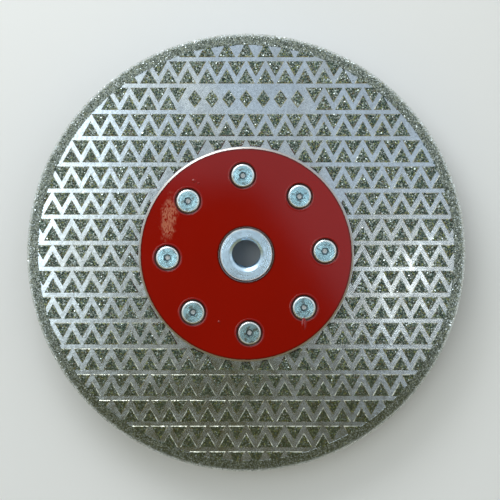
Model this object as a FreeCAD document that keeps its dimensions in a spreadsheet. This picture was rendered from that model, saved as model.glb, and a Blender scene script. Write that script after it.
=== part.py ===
import FreeCAD, Part
import math
import os

import Sketcher
from FreeCAD import Rotation, Vector

# Electroplated diamond disc with a threaded flange for an angle grinder.
# The disc lies work side up on its hub: +Z is the spindle axis, pointing out of the work side,
# and the origin is the centre of the hub's seat face. Millimetres and degrees.

PARTS_FOLDER = "parts"

# Driving dimensions: name, value and what it is.
SIZES = [
    ("disc_diameter", 180.0, "over the grit on the rim"),
    ("blank_thickness", 1.8, "steel sheet under the grit"),
    ("grit_height", 0.4, "how far the plated grit stands above the steel"),
    ("rim_width", 4.4, "unbroken ring of grit along the rim"),
    ("rim_bevel", 0.5, "worn corner of the grit at the rim"),
    ("column_pitch", 7.95, "from one triangle to the next along a row"),
    ("row_pitch", 10.7, "from one smooth bar to the next"),
    ("bar_width", 2.3, "smooth bar between two rows"),
    ("zigzag_width", 2.4, "smooth zigzag line inside a row, square to its run"),
    ("side_angle", 60.0, "slope of the triangles' sides"),
    ("row_offset", 4.75, "from the disc's centre to the middle of the nearest bar"),
    ("smallest_patch", 1.8, "area under which a clipped patch isn't plated"),
    ("panel_width", 52.0, "smooth panel in one row of the work side"),
    ("panel_row", 5.0, "row of the panel, counted up from the centre"),
    ("mark_count", 7.0, "plain lozenges in the panel"),
    ("mark_pitch", 7.0, "from one lozenge to the next"),
    ("mark_width", 4.8, "lozenge along the row"),
    ("mark_height", 6.4, "lozenge across the row"),
    ("clamp_diameter", 87.8, "front plate and rear flange, which end flush"),
    ("plate_thickness", 3.0, "front clamping plate"),
    ("plate_edge_width", 0.8, "bare sloped edge of the plate's front face"),
    ("plate_edge_drop", 0.35, "how far that edge slopes down"),
    ("plate_margin", 0.8, "smooth steel left round the plate"),
    ("flange_thickness", 5.5, "rear clamping flange"),
    ("flange_chamfer", 0.8, "edges of the rear flange"),
    ("hub_diameter", 30.0, "hub behind the flange"),
    ("hub_height", 12.0, "from the seat face to the flange"),
    ("hub_chamfer", 1.0, "end of the hub"),
    ("hub_root", 1.5, "sloped root of the hub"),
    ("wrench_size", 24.0, "across the two flats of the hub"),
    ("flat_height", 9.0, "length of the flats from the seat face"),
    ("spigot_diameter", 22.2, "spigot that centres disc and plate"),
    ("spigot_stand", 0.3, "how far the spigot ends above the plate"),
    ("spigot_chamfer", 0.8, "outer edge of the spigot"),
    ("thread_diameter", 14.0, "spindle thread, nominal"),
    ("thread_chamfer", 0.25, "countersink at both ends of the thread"),
    ("bore_clearance", 0.05, "between spigot and disc, on the radius"),
    ("plate_bore_gap", 0.25, "between spigot and plate, on the radius"),
    ("screw_count", 8.0, "clamping screws"),
    ("screw_edge", 11.65, "from the plate's edge to the axis of a screw"),
    ("screw_clock", 2.4, "turn of the ring of screws from the pattern"),
    ("screw_diameter", 5.0, "nominal"),
    ("screw_length", 10.0, "over all, as countersunk screws are measured"),
    ("head_diameter", 9.7, "screw head"),
    ("head_bevel_width", 0.6, "sloped edge of the screw head's face"),
    ("head_bevel_drop", 0.25, "how far that edge slopes down"),
    ("head_land", 0.2, "straight side of the screw head under the bevel"),
    ("head_angle", 90.0, "full angle of the head's cone and of its countersink"),
    ("head_sink", 0.2, "depth of the head's face under the plate's face"),
    ("socket_size", 3.0, "across the flats of the hexagon socket"),
    ("socket_depth", 2.0, "hexagon socket"),
    ("socket_clock_step", 23.0, "turn of each socket from that of the screw before"),
    ("clearance_hole_gap", 0.15, "screw in plate and disc, on the radius"),
    ("tapped_hole_gap", 0.02, "screw in the flange, on the radius"),
    ("cone_gap", 0.02, "screw head in its countersink, square to the cone"),
]

# Heights of the stack above the hub's seat face, as expressions on the sheet.
DISC_SEAT = "(Sizes.hub_height + Sizes.flange_thickness)"
PLATE_SEAT = "(" + DISC_SEAT + " + Sizes.blank_thickness)"
PLATE_FACE = "(" + PLATE_SEAT + " + Sizes.plate_thickness)"
SCREW_TOP = "(" + PLATE_FACE + " - Sizes.head_sink)"
SPIGOT_END = "(" + PLATE_FACE + " + Sizes.spigot_stand)"

# How deep the head's cone ends under the plate's face.
CONE_TOP = "(Sizes.head_sink + Sizes.head_bevel_drop + Sizes.head_land)"
SCREW_REACH = "(Sizes.clamp_diameter / 2 - Sizes.screw_edge)"
CLEARANCE_HOLE = "Sizes.screw_diameter + 2 * Sizes.clearance_hole_gap"
TAPPED_HOLE = "Sizes.screw_diameter + 2 * Sizes.tapped_hole_gap"


def make_sheet(doc):
    """Put the driving dimensions in the document's spreadsheet."""
    sheet = doc.addObject("Spreadsheet::Sheet", "Sizes")
    for row, (alias, value, meaning) in enumerate(SIZES, start=1):
        sheet.set(f"A{row}", alias)
        sheet.set(f"B{row}", str(value))
        sheet.set(f"C{row}", meaning)
        sheet.setAlias(f"B{row}", alias)
    doc.recompute()
    return sheet


def origin_plane(body, role):
    """The origin plane of a body that plays the given role."""
    for feature in body.Origin.OriginFeatures:
        if feature.Role == role:
            return feature
    raise ValueError(f"{body.Name} has no {role}")


def new_body(doc, label):
    body = doc.addObject("PartDesign::Body", label + "_body")
    body.Label = label
    return body


def new_sketch(body, name, role, height=None):
    """A sketch on one of the body's own planes, lifted by an expression if one is given."""
    sketch = body.newObject("Sketcher::SketchObject", name)
    sketch.AttachmentSupport = [(origin_plane(body, role), "")]
    sketch.MapMode = "FlatFace"
    if height is not None:
        sketch.setExpression("AttachmentOffset.Base.z", height)
    body.Document.recompute()
    return sketch


def value_of(sketch, expression):
    """The number that an expression on the sheet gives now."""
    result = sketch.evalExpression(expression)
    return float(getattr(result, "Value", result))


def pin_point(sketch, geometry, point, x, y):
    """Hold a point of the sketch at x and y, each an expression on the sheet."""
    for kind, axis, expression in (("DistanceX", -2, x), ("DistanceY", -1, y)):
        if expression == "0":
            sketch.addConstraint(Sketcher.Constraint("PointOnObject", geometry, point, axis))
            continue
        value = value_of(sketch, expression)
        number = sketch.addConstraint(Sketcher.Constraint(kind, -1, 1, geometry, point, value))
        sketch.setExpression(f"Constraints[{number}]", expression)


def draw_outline(sketch, corners):
    """A closed outline of straight lines, its corners held by expressions."""
    places = [Vector(value_of(sketch, x), value_of(sketch, y), 0) for x, y in corners]
    count = len(places)
    for index in range(count):
        sketch.addGeometry(Part.LineSegment(places[index], places[(index + 1) % count]), False)
    for index in range(count):
        following = (index + 1) % count
        sketch.addConstraint(Sketcher.Constraint("Coincident", index, 2, following, 1))
    for index, (x, y) in enumerate(corners):
        pin_point(sketch, index, 1, x, y)


def draw_circle(sketch, x, y, diameter):
    """A circle whose centre and diameter are held by expressions."""
    centre = Vector(value_of(sketch, x), value_of(sketch, y), 0)
    radius = value_of(sketch, diameter) / 2
    index = sketch.addGeometry(Part.Circle(centre, Vector(0, 0, 1), radius), False)
    pin_point(sketch, index, 3, x, y)
    number = sketch.addConstraint(Sketcher.Constraint("Diameter", index, 2 * radius))
    sketch.setExpression(f"Constraints[{number}]", diameter)


def draw_hexagon(sketch, across_flats):
    """A regular hexagon round the sketch's origin, drawn on its inscribed circle."""
    sides = 6
    radius = value_of(sketch, across_flats) / 2
    reach = radius / math.cos(math.pi / sides)
    places = []
    for corner in range(sides):
        angle = 2 * math.pi * corner / sides
        places.append(Vector(reach * math.cos(angle), reach * math.sin(angle), 0))
    for index in range(sides):
        sketch.addGeometry(Part.LineSegment(places[index], places[(index + 1) % sides]), False)
    guide = sketch.addGeometry(Part.Circle(Vector(0, 0, 0), Vector(0, 0, 1), radius), True)
    for index in range(sides):
        following = (index + 1) % sides
        sketch.addConstraint(Sketcher.Constraint("Coincident", index, 2, following, 1))
        sketch.addConstraint(Sketcher.Constraint("Tangent", index, guide))
        if index:
            sketch.addConstraint(Sketcher.Constraint("Equal", 0, index))
    sketch.addConstraint(Sketcher.Constraint("Coincident", guide, 3, -1, 1))
    sketch.addConstraint(Sketcher.Constraint("PointOnObject", 0, 1, -1))
    number = sketch.addConstraint(Sketcher.Constraint("Diameter", guide, 2 * radius))
    sketch.setExpression(f"Constraints[{number}]", across_flats)


def turn(body, name, corners):
    """Revolve a half section, given as radius and height expressions, round the Z axis."""
    sketch = new_sketch(body, name + "_section", "XZ_Plane")
    draw_outline(sketch, corners)
    turned = body.newObject("PartDesign::Revolution", name)
    turned.Profile = sketch
    turned.ReferenceAxis = (sketch, ["V_Axis"])
    turned.Angle = 360
    sketch.Visibility = False
    body.Document.recompute()
    return turned


def check_cut(body, before, name):
    """Stop if a cut took nothing away."""
    body.Document.recompute()
    if not body.Shape.Volume < before - 1e-6:
        raise RuntimeError(f"{name} cuts nothing from {body.Label}")


def drill_screw_circle(body, name, diameter, face_height, countersink=None):
    """Drill one hole down from a face and repeat it round the circle of screws."""
    before = body.Shape.Volume
    sketch = new_sketch(body, name + "_place", "XY_Plane", face_height)
    x = SCREW_REACH + " * cos(Sizes.screw_clock)"
    y = SCREW_REACH + " * sin(Sizes.screw_clock)"
    draw_circle(sketch, x, y, diameter)
    hole = body.newObject("PartDesign::Hole", name)
    hole.Profile = sketch
    body.Document.recompute()
    hole.ThreadType = "None"
    hole.DepthType = "ThroughAll"
    hole.setExpression("Diameter", diameter)
    if countersink is not None:
        hole.HoleCutType = "Countersink"
        hole.HoleCutCustomValues = True
        hole.setExpression("HoleCutCountersinkAngle", "Sizes.head_angle")
        hole.setExpression("HoleCutDiameter", countersink)
    sketch.Visibility = False
    body.Document.recompute()
    pattern = body.newObject("PartDesign::PolarPattern", name + "_circle")
    pattern.Originals = [hole]
    pattern.Axis = (sketch, ["N_Axis"])
    pattern.Angle = 360
    pattern.setExpression("Occurrences", "Sizes.screw_count")
    body.Tip = pattern
    check_cut(body, before, name)


def place(feature, height):
    """Lift a sub-part to its height in the stack."""
    feature.setExpression("Placement.Base.z", height)


def make_blank(doc):
    """Steel blank with the ring of grit along its rim. Its height 0 is the rear grit's face."""
    body = new_body(doc, "blank")
    bore = "(Sizes.spigot_diameter / 2 + Sizes.bore_clearance)"
    rim = "(Sizes.disc_diameter / 2)"
    field_edge = "(" + rim + " - Sizes.rim_width)"
    rear, front = "Sizes.grit_height", "(Sizes.grit_height + Sizes.blank_thickness)"
    top = "(2 * Sizes.grit_height + Sizes.blank_thickness)"
    turn(body, "sheet_and_rim", [
        (bore, rear),
        (field_edge, rear),
        (field_edge, "0"),
        (rim + " - Sizes.rim_bevel", "0"),
        (rim, "Sizes.rim_bevel"),
        (rim, top + " - Sizes.rim_bevel"),
        (rim + " - Sizes.rim_bevel", top),
        (field_edge, top),
        (field_edge, front),
        (bore, front),
    ])
    drill_screw_circle(body, "screw_holes", CLEARANCE_HOLE, front)
    return body


def triangle_size(sheet):
    """Base and height of a grit triangle, from the smooth lines that part the triangles."""
    angle = math.radians(sheet.side_angle)
    clear = sheet.row_pitch - sheet.bar_width
    base = sheet.column_pitch / 2 + clear / math.tan(angle) - sheet.zigzag_width / math.sin(angle)
    return base, base / 2 * math.tan(angle)


def row_edges(sheet, row):
    """Lower and upper edge of a row's clear height. Row 0 stands on the bar nearest the centre."""
    bar = sheet.row_offset + row * sheet.row_pitch
    return bar + sheet.bar_width / 2, bar + sheet.row_pitch - sheet.bar_width / 2


def row_triangles(sheet, row, columns):
    """Corners of one row's triangles: upright ones, and hanging ones between them."""
    base, height = triangle_size(sheet)
    lower, upper = row_edges(sheet, row)
    corners = []
    for column in range(-columns, columns + 1):
        x = column * sheet.column_pitch
        corners.append([(x - base / 2, lower), (x + base / 2, lower), (x, lower + height)])
        x += sheet.column_pitch / 2
        corners.append([(x - base / 2, upper), (x + base / 2, upper), (x, upper - height)])
    return corners


def panel_marks(sheet):
    """Corners of the plain lozenges in the smooth panel."""
    lower, upper = row_edges(sheet, round(sheet.panel_row))
    middle = (lower + upper) / 2
    half_width, half_height = sheet.mark_width / 2, sheet.mark_height / 2
    corners = []
    for number in range(int(sheet.mark_count)):
        x = (number - (sheet.mark_count - 1) / 2) * sheet.mark_pitch
        corners.append([(x - half_width, middle), (x, middle - half_height),
                        (x + half_width, middle), (x, middle + half_height)])
    return corners


def outside_panel(sheet, corners):
    """True for a triangle that stands beside the smooth panel."""
    middle = sum(x for x, y in corners) / len(corners)
    return abs(middle) > sheet.panel_width / 2


def pattern_outlines(sheet):
    """Corners of every patch of grit, before the edges of the field clip them."""
    reach = sheet.disc_diameter / 2
    columns = math.ceil(reach / sheet.column_pitch)
    last_row = math.ceil((reach + abs(sheet.row_offset)) / sheet.row_pitch)
    outlines = []
    for row in range(-last_row, last_row + 1):
        triangles = row_triangles(sheet, row, columns)
        if row == round(sheet.panel_row):
            triangles = [corners for corners in triangles if outside_panel(sheet, corners)]
            triangles += panel_marks(sheet)
        outlines += triangles
    return outlines


def distance_to_edge(start, end):
    """Distance from the disc's axis to a straight edge."""
    along = end - start
    share = max(0.0, min(1.0, -start.dot(along) / along.dot(along)))
    return (start + along * share).Length


def field_radii(sheet):
    """Inner and outer radius of the field of grit patches. Its outer edge is the rim's ring."""
    inner = sheet.clamp_diameter / 2 + sheet.plate_margin
    return inner, sheet.disc_diameter / 2 - sheet.rim_width


def grit_patches(sheet):
    """Flat faces of all patches of grit on the work side, clipped to the field."""
    inner, outer = field_radii(sheet)
    discs = [Part.Face(Part.Wire(Part.makeCircle(radius))) for radius in (inner, outer)]
    field = discs[1].cut(discs[0])
    patches = []
    for corners in pattern_outlines(sheet):
        points = [Vector(x, y, 0) for x, y in corners + corners[:1]]
        nearest = min(distance_to_edge(a, b) for a, b in zip(points, points[1:]))
        farthest = max(point.Length for point in points)
        if farthest <= inner or nearest >= outer:
            continue
        patch = Part.Face(Part.makePolygon(points))
        if nearest < inner or farthest > outer:
            patch = patch.common(field)
        patches += [face for face in patch.Faces if face.Area > sheet.smallest_patch]
    return patches


def grit_field(sheet, foot):
    """The raised patches of the work side, standing on the given height."""
    rise = Vector(0, 0, sheet.grit_height)
    field = Part.makeCompound([patch.extrude(rise) for patch in grit_patches(sheet)])
    field.translate(Vector(0, 0, foot))
    return field


def row_lines(sheet, height):
    """Lines along the middle of the bars, on the smooth face at the given height."""
    edge = field_radii(sheet)[1]
    last_row = math.ceil((edge + abs(sheet.row_offset)) / sheet.row_pitch)
    lines = []
    for row in range(-last_row, last_row + 1):
        y = sheet.row_offset + row * sheet.row_pitch
        if abs(y) < edge:
            reach = math.sqrt(edge ** 2 - y ** 2)
            lines.append(Part.makeLine(Vector(-reach, y, height), Vector(reach, y, height)))
    return lines


def make_diamond_disc(doc, sheet):
    """Blank with its plated grit: patches on the work side and the ring round the rim.

    The work side's smooth face is parted into one face a row, which keeps each face simple.
    """
    front = sheet.grit_height + sheet.blank_thickness
    blank = make_blank(doc).Shape.generalFuse(row_lines(sheet, front))[0].Solids[0]
    disc = doc.addObject("Part::Feature", "diamond_disc")
    disc.Label = "diamond_disc"
    disc.Shape = blank.fuse(grit_field(sheet, front))
    place(disc, DISC_SEAT + " - Sizes.grit_height")
    return disc


def make_front_plate(doc):
    """Clamping plate on the work side, with countersunk holes. Its height 0 lies on the disc."""
    body = new_body(doc, "front_plate")
    bore = "(Sizes.spigot_diameter / 2 + Sizes.plate_bore_gap)"
    edge = "(Sizes.clamp_diameter / 2)"
    turn(body, "plate", [
        (bore, "0"),
        (edge, "0"),
        (edge, "Sizes.plate_thickness - Sizes.plate_edge_drop"),
        (edge + " - Sizes.plate_edge_width", "Sizes.plate_thickness"),
        (bore, "Sizes.plate_thickness"),
    ])
    # The head's cone, moved out by its gap and run up to the plate's face.
    mouth = ("Sizes.head_diameter + 2 * Sizes.cone_gap / cos(Sizes.head_angle / 2) + 2 * "
             + CONE_TOP + " * tan(Sizes.head_angle / 2)")
    drill_screw_circle(body, "screw_holes", CLEARANCE_HOLE, "Sizes.plate_thickness", mouth)
    place(body, PLATE_SEAT)
    return body


def cut_wrench_flats(body):
    """Two flats on the hub, cut up from its seat face."""
    before = body.Shape.Volume
    sketch = new_sketch(body, "flats_outline", "XY_Plane")
    flat, reach = "(Sizes.wrench_size / 2)", "(Sizes.hub_diameter / 2 + Sizes.hub_chamfer)"
    side = value_of(sketch, flat)
    far = value_of(sketch, reach)
    for number, sign in enumerate((1, -1)):
        corners = [(sign * side, -far), (sign * far, -far), (sign * far, far), (sign * side, far)]
        places = [Vector(x, y, 0) for x, y in corners]
        first = 4 * number
        for index in range(4):
            sketch.addGeometry(Part.LineSegment(places[index], places[(index + 1) % 4]), False)
        for index in range(4):
            following = first + (index + 1) % 4
            sketch.addConstraint(Sketcher.Constraint("Coincident", first + index, 2, following, 1))
        prefix = "" if sign > 0 else "-"
        for index, (x, y) in enumerate(((flat, "-" + reach), (reach, "-" + reach),
                                        (reach, reach), (flat, reach))):
            pin_point(sketch, first + index, 1, prefix + x, y)
    pocket = body.newObject("PartDesign::Pocket", "wrench_flats")
    pocket.Profile = sketch
    pocket.Reversed = True
    pocket.setExpression("Length", "Sizes.flat_height")
    sketch.Visibility = False
    body.Tip = pocket
    check_cut(body, before, "wrench_flats")


def make_threaded_flange(doc):
    """Turned flange with hub, spigot, tapped holes and the hole of the spindle thread."""
    body = new_body(doc, "threaded_flange")
    bore = "(Sizes.thread_diameter / 2)"
    mouth = "(" + bore + " + Sizes.thread_chamfer)"
    hub = "(Sizes.hub_diameter / 2)"
    rim = "(Sizes.clamp_diameter / 2)"
    spigot = "(Sizes.spigot_diameter / 2)"
    turn(body, "turned_flange", [
        (mouth, "0"),
        (hub + " - Sizes.hub_chamfer", "0"),
        (hub, "Sizes.hub_chamfer"),
        (hub, "Sizes.hub_height - Sizes.hub_root"),
        (hub + " + Sizes.hub_root", "Sizes.hub_height"),
        (rim + " - Sizes.flange_chamfer", "Sizes.hub_height"),
        (rim, "Sizes.hub_height + Sizes.flange_chamfer"),
        (rim, DISC_SEAT),
        (spigot, DISC_SEAT),
        (spigot, SPIGOT_END + " - Sizes.spigot_chamfer"),
        (spigot + " - Sizes.spigot_chamfer", SPIGOT_END),
        (mouth, SPIGOT_END),
        (bore, SPIGOT_END + " - Sizes.thread_chamfer"),
        (bore, "Sizes.thread_chamfer"),
    ])
    drill_screw_circle(body, "tapped_holes", TAPPED_HOLE, DISC_SEAT)
    cut_wrench_flats(body)
    return body


def make_screw(doc, sheet, index):
    """Countersunk hexagon-socket screw. Its height 0 is the tip of the shank."""
    body = new_body(doc, f"screw_{index + 1}")
    shank = "(Sizes.screw_diameter / 2)"
    head = "(Sizes.head_diameter / 2)"
    cone_height = "(" + head + " - " + shank + ") / tan(Sizes.head_angle / 2)"
    cone_top = "Sizes.screw_length - Sizes.head_bevel_drop - Sizes.head_land"
    turn(body, "turned_screw", [
        ("0", "0"),
        (shank, "0"),
        (shank, cone_top + " - " + cone_height),
        (head, cone_top),
        (head, "Sizes.screw_length - Sizes.head_bevel_drop"),
        (head + " - Sizes.head_bevel_width", "Sizes.screw_length"),
        ("0", "Sizes.screw_length"),
    ])
    before = body.Shape.Volume
    sketch = new_sketch(body, "socket_outline", "XY_Plane", "Sizes.screw_length")
    draw_hexagon(sketch, "Sizes.socket_size")
    socket = body.newObject("PartDesign::Pocket", "socket")
    socket.Profile = sketch
    socket.setExpression("Length", "Sizes.socket_depth")
    sketch.Visibility = False
    body.Tip = socket
    check_cut(body, before, "socket")
    angle = f"(Sizes.screw_clock + {index} * 360 / Sizes.screw_count)"
    body.setExpression("Placement.Base.x", f"{SCREW_REACH} * cos({angle})")
    body.setExpression("Placement.Base.y", f"{SCREW_REACH} * sin({angle})")
    body.Placement.Rotation = Rotation(Vector(0, 0, 1), index * sheet.socket_clock_step)
    place(body, SCREW_TOP + " - Sizes.screw_length")
    return body


def check_document(doc, sub_parts):
    """Stop if any object failed or a sub-part isn't one valid solid."""
    for feature in doc.Objects:
        if "Invalid" in feature.State or "Error" in feature.State:
            raise RuntimeError(f"{feature.Label} failed: {feature.State}")
    for part in sub_parts:
        shape = part.Shape
        if shape.isNull() or not shape.isValid() or len(shape.Solids) != 1:
            raise RuntimeError(f"{part.Label} isn't one valid solid")


def write_parts(sub_parts):
    """Write each sub-part to a file named after it."""
    os.makedirs(PARTS_FOLDER, exist_ok=True)
    for part in sub_parts:
        part.Shape.exportStep(os.path.join(PARTS_FOLDER, part.Label + ".step"))
        box = part.Shape.BoundBox
        print(f"{part.Label}: {box.XLength:.2f} x {box.YLength:.2f} x {box.ZLength:.2f} mm,"
              f" z {box.ZMin:.2f} to {box.ZMax:.2f}, {part.Shape.Volume:.0f} mm3")


def main():
    doc = FreeCAD.newDocument("DiamondDisc")
    sheet = make_sheet(doc)
    sub_parts = [make_diamond_disc(doc, sheet), make_front_plate(doc), make_threaded_flange(doc)]
    sub_parts += [make_screw(doc, sheet, index) for index in range(int(sheet.screw_count))]
    doc.recompute()
    check_document(doc, sub_parts)
    write_parts(sub_parts)


main()
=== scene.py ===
"""Looks of an electroplated diamond disc with a red clamping plate and a threaded flange.

Everything is in metres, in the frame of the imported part: the disc lies work side up on its hub,
+Z is the spindle axis and +Y points to the top of the picture.
"""

import logging
import math
from contextlib import contextmanager
from dataclasses import dataclass, replace
from enum import Enum
from functools import cached_property
from typing import Any, Iterator, Sequence

import bpy
import numpy as np
from mathutils import Matrix, Vector
from mathutils.bvhtree import BVHTree


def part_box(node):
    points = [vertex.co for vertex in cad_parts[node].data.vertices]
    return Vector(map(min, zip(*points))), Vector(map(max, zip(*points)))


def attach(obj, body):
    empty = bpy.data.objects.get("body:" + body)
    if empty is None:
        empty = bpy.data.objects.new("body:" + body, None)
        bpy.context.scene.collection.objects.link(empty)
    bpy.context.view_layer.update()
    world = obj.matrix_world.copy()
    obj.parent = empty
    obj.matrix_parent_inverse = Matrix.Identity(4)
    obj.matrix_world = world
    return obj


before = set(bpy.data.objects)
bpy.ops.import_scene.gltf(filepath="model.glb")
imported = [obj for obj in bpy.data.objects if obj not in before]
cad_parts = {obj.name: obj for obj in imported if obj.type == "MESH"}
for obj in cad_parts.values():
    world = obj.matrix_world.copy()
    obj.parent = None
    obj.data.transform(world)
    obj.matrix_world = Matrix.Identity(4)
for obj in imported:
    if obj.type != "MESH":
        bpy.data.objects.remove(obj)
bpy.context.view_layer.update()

LOG = logging.getLogger("diamond_disc")
MM = 0.001
BODY = "root"
WELD_DISTANCE = 1e-6

Colour = tuple[float, float, float]


class Slot(Enum):
    """Names of three material slots, which nothing in this script uses."""

    GRIT = "plated_grit"
    PAINT = "red_paint"
    FLANGE = "zinc_plated_flange"


class CrystalShape(Enum):
    """The habits of the diamond crystals, with their share of the grit."""

    OCTAHEDRON = 0.50
    CUBE = 0.32
    BLOCKY = 0.18


@dataclass(frozen=True)
class DiscSizes:
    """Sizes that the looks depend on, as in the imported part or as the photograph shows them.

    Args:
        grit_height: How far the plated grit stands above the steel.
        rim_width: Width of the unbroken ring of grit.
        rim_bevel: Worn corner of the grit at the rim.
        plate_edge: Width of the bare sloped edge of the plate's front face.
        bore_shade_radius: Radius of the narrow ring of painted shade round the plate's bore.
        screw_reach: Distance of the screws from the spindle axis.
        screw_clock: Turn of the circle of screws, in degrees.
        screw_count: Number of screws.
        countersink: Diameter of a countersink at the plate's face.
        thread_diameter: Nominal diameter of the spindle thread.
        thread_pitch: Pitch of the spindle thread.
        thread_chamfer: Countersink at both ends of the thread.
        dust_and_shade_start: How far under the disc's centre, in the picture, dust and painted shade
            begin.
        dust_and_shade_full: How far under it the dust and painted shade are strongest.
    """

    grit_height: float = 0.4 * MM
    rim_width: float = 4.4 * MM
    rim_bevel: float = 0.5 * MM
    plate_edge: float = 0.8 * MM
    bore_shade_radius: float = 11.9 * MM
    screw_reach: float = 32.25 * MM
    screw_clock: float = 2.4
    screw_count: int = 8
    countersink: float = 11.06 * MM
    thread_diameter: float = 14.0 * MM
    thread_pitch: float = 2.0 * MM
    thread_chamfer: float = 0.25 * MM
    dust_and_shade_start: float = 15 * MM
    dust_and_shade_full: float = 72 * MM

    @cached_property
    def rim_radius(self) -> float:
        """Outer radius of the disc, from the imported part."""
        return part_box("diamond_disc")[1].x

    @cached_property
    def front(self) -> float:
        """Height of the grit's face on the work side."""
        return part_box("diamond_disc")[1].z

    @cached_property
    def rear(self) -> float:
        """Height of the grit's face on the rear side."""
        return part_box("diamond_disc")[0].z

    @cached_property
    def plate_face(self) -> float:
        """Height of the painted plate's face."""
        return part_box("front_plate")[1].z

    @cached_property
    def plate_radius(self) -> float:
        """Radius of the painted plate."""
        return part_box("front_plate")[1].x

    def screw_places(self) -> list[Vector]:
        """Find the centres of the screws on the plate's face.

        Returns:
            Their centres, from the right-hand one anticlockwise.
        """
        places = []
        for number in range(self.screw_count):
            angle = math.radians(self.screw_clock + number * 360 / self.screw_count)
            x, y = self.screw_reach * math.cos(angle), self.screw_reach * math.sin(angle)
            places.append(Vector((x, y, self.plate_face)))
        return places


SIZES = DiscSizes()


class Signal:
    """A socket's number in a material, with Python's operators as Math nodes."""

    def __init__(self, graph: "NodeGraph", socket: bpy.types.NodeSocket) -> None:
        """Wrap an output socket.

        Args:
            graph: The node tree that it belongs to.
            socket: The output that carries the number.
        """
        self.graph = graph
        self.socket = socket

    def _math(self, operation: str, *values: "Signal | float") -> "Signal":
        """Add a Math node.

        Args:
            operation: The node's operation.
            values: Its inputs, in order.

        Returns:
            The node's result.
        """
        inputs = dict(enumerate(values))
        return self.graph.node("ShaderNodeMath", {"operation": operation}, inputs)

    def __add__(self, other: "Signal | float") -> "Signal":
        """Sum."""
        return self._math("ADD", self, other)

    __radd__ = __add__

    def __sub__(self, other: "Signal | float") -> "Signal":
        """Difference."""
        return self._math("SUBTRACT", self, other)

    def __rsub__(self, other: float) -> "Signal":
        """Difference from a plain number."""
        return self._math("SUBTRACT", other, self)

    def __mul__(self, other: "Signal | float") -> "Signal":
        """Product."""
        return self._math("MULTIPLY", self, other)

    __rmul__ = __mul__

    def __truediv__(self, other: "Signal | float") -> "Signal":
        """Quotient."""
        return self._math("DIVIDE", self, other)

    def __gt__(self, other: float) -> "Signal":
        """1 where this is greater."""
        return self._math("GREATER_THAN", self, other)

    def __lt__(self, other: float) -> "Signal":
        """1 where this is less."""
        return self._math("LESS_THAN", self, other)

    def root(self) -> "Signal":
        """Square root."""
        return self._math("SQRT", self)

    def step(self, low: float, high: float) -> "Signal":
        """Rise smoothly from 0 at low to 1 at high.

        Args:
            low: Where the rise starts.
            high: Where it ends. Below low, the signal falls instead.

        Returns:
            The smooth step.
        """
        settings = {"interpolation_type": "SMOOTHSTEP"}
        return self.graph.node("ShaderNodeMapRange", settings,
                                {"Value": self, "From Min": low, "From Max": high})


class NodeGraph:
    """A node tree built from Python expressions over one vector, such as a place."""

    def __init__(self, tree: bpy.types.NodeTree, coordinates: str) -> None:
        """Start with a node tree.

        Args:
            tree: The node tree.
            coordinates: The texture coordinates that its expressions start from.
        """
        self.tree = tree
        self.place = self.node("ShaderNodeTexCoord", {}, {}, coordinates)

    def node(self, kind: str, settings: dict[str, Any], inputs: dict[str | int, Any],
             output: str | int = 0) -> Signal:
        """Add any node.

        Args:
            kind: The node's type.
            settings: Properties, set before the sockets.
            inputs: Values or signals by socket name or number.
            output: The socket to return.

        Returns:
            The chosen output.
        """
        made = self.tree.nodes.new(kind)
        for key, value in settings.items():
            if key == "stops":
                self._set_stops(made.color_ramp, value)
            else:
                setattr(made, key, value)
        for key, value in inputs.items():
            if isinstance(value, Signal):
                self.tree.links.new(value.socket, made.inputs[key])
            else:
                made.inputs[key].default_value = value
        return Signal(self, made.outputs[output])

    @staticmethod
    def _set_stops(ramp: bpy.types.ColorRamp, stops: Sequence[tuple[float, Colour]]) -> None:
        """Set the stops of a colour ramp.

        Args:
            ramp: The ramp.
            stops: Place and colour of each stop.
        """
        while len(ramp.elements) < len(stops):
            ramp.elements.new(0.5)
        for element, (place, colour) in zip(ramp.elements, stops):
            element.position = place
            element.color = (*colour, 1.0)

    def axis(self, name: str) -> Signal:
        """One of the components X, Y and Z."""
        return self.node("ShaderNodeSeparateXYZ", {}, {0: self.place}, name)

    def mix(self, share: Signal | float, first: Signal | Colour,
            second: Signal | Colour) -> Signal:
        """Blend two colours.

        Args:
            share: Share of the second colour.
            first: Colour where the share is 0.
            second: Colour where the share is 1.

        Returns:
            The blended colour.
        """
        colours = [(*value, 1.0) if isinstance(value, tuple) else value
                   for value in (first, second)]
        return self.node("ShaderNodeMix", {"data_type": "RGBA"},
                         {0: share, 6: colours[0], 7: colours[1]}, 2)

    def layers(self, base: Signal | Colour, *coats: tuple[Signal, Signal | Colour]) -> Signal:
        """Lay coats of colour over a base, one after another.

        Args:
            base: Colour under the coats.
            coats: Share and colour of each coat, from the lowest up.

        Returns:
            The colour on top.
        """
        for share, colour in coats:
            base = self.mix(share, base, colour)
        return base


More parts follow.
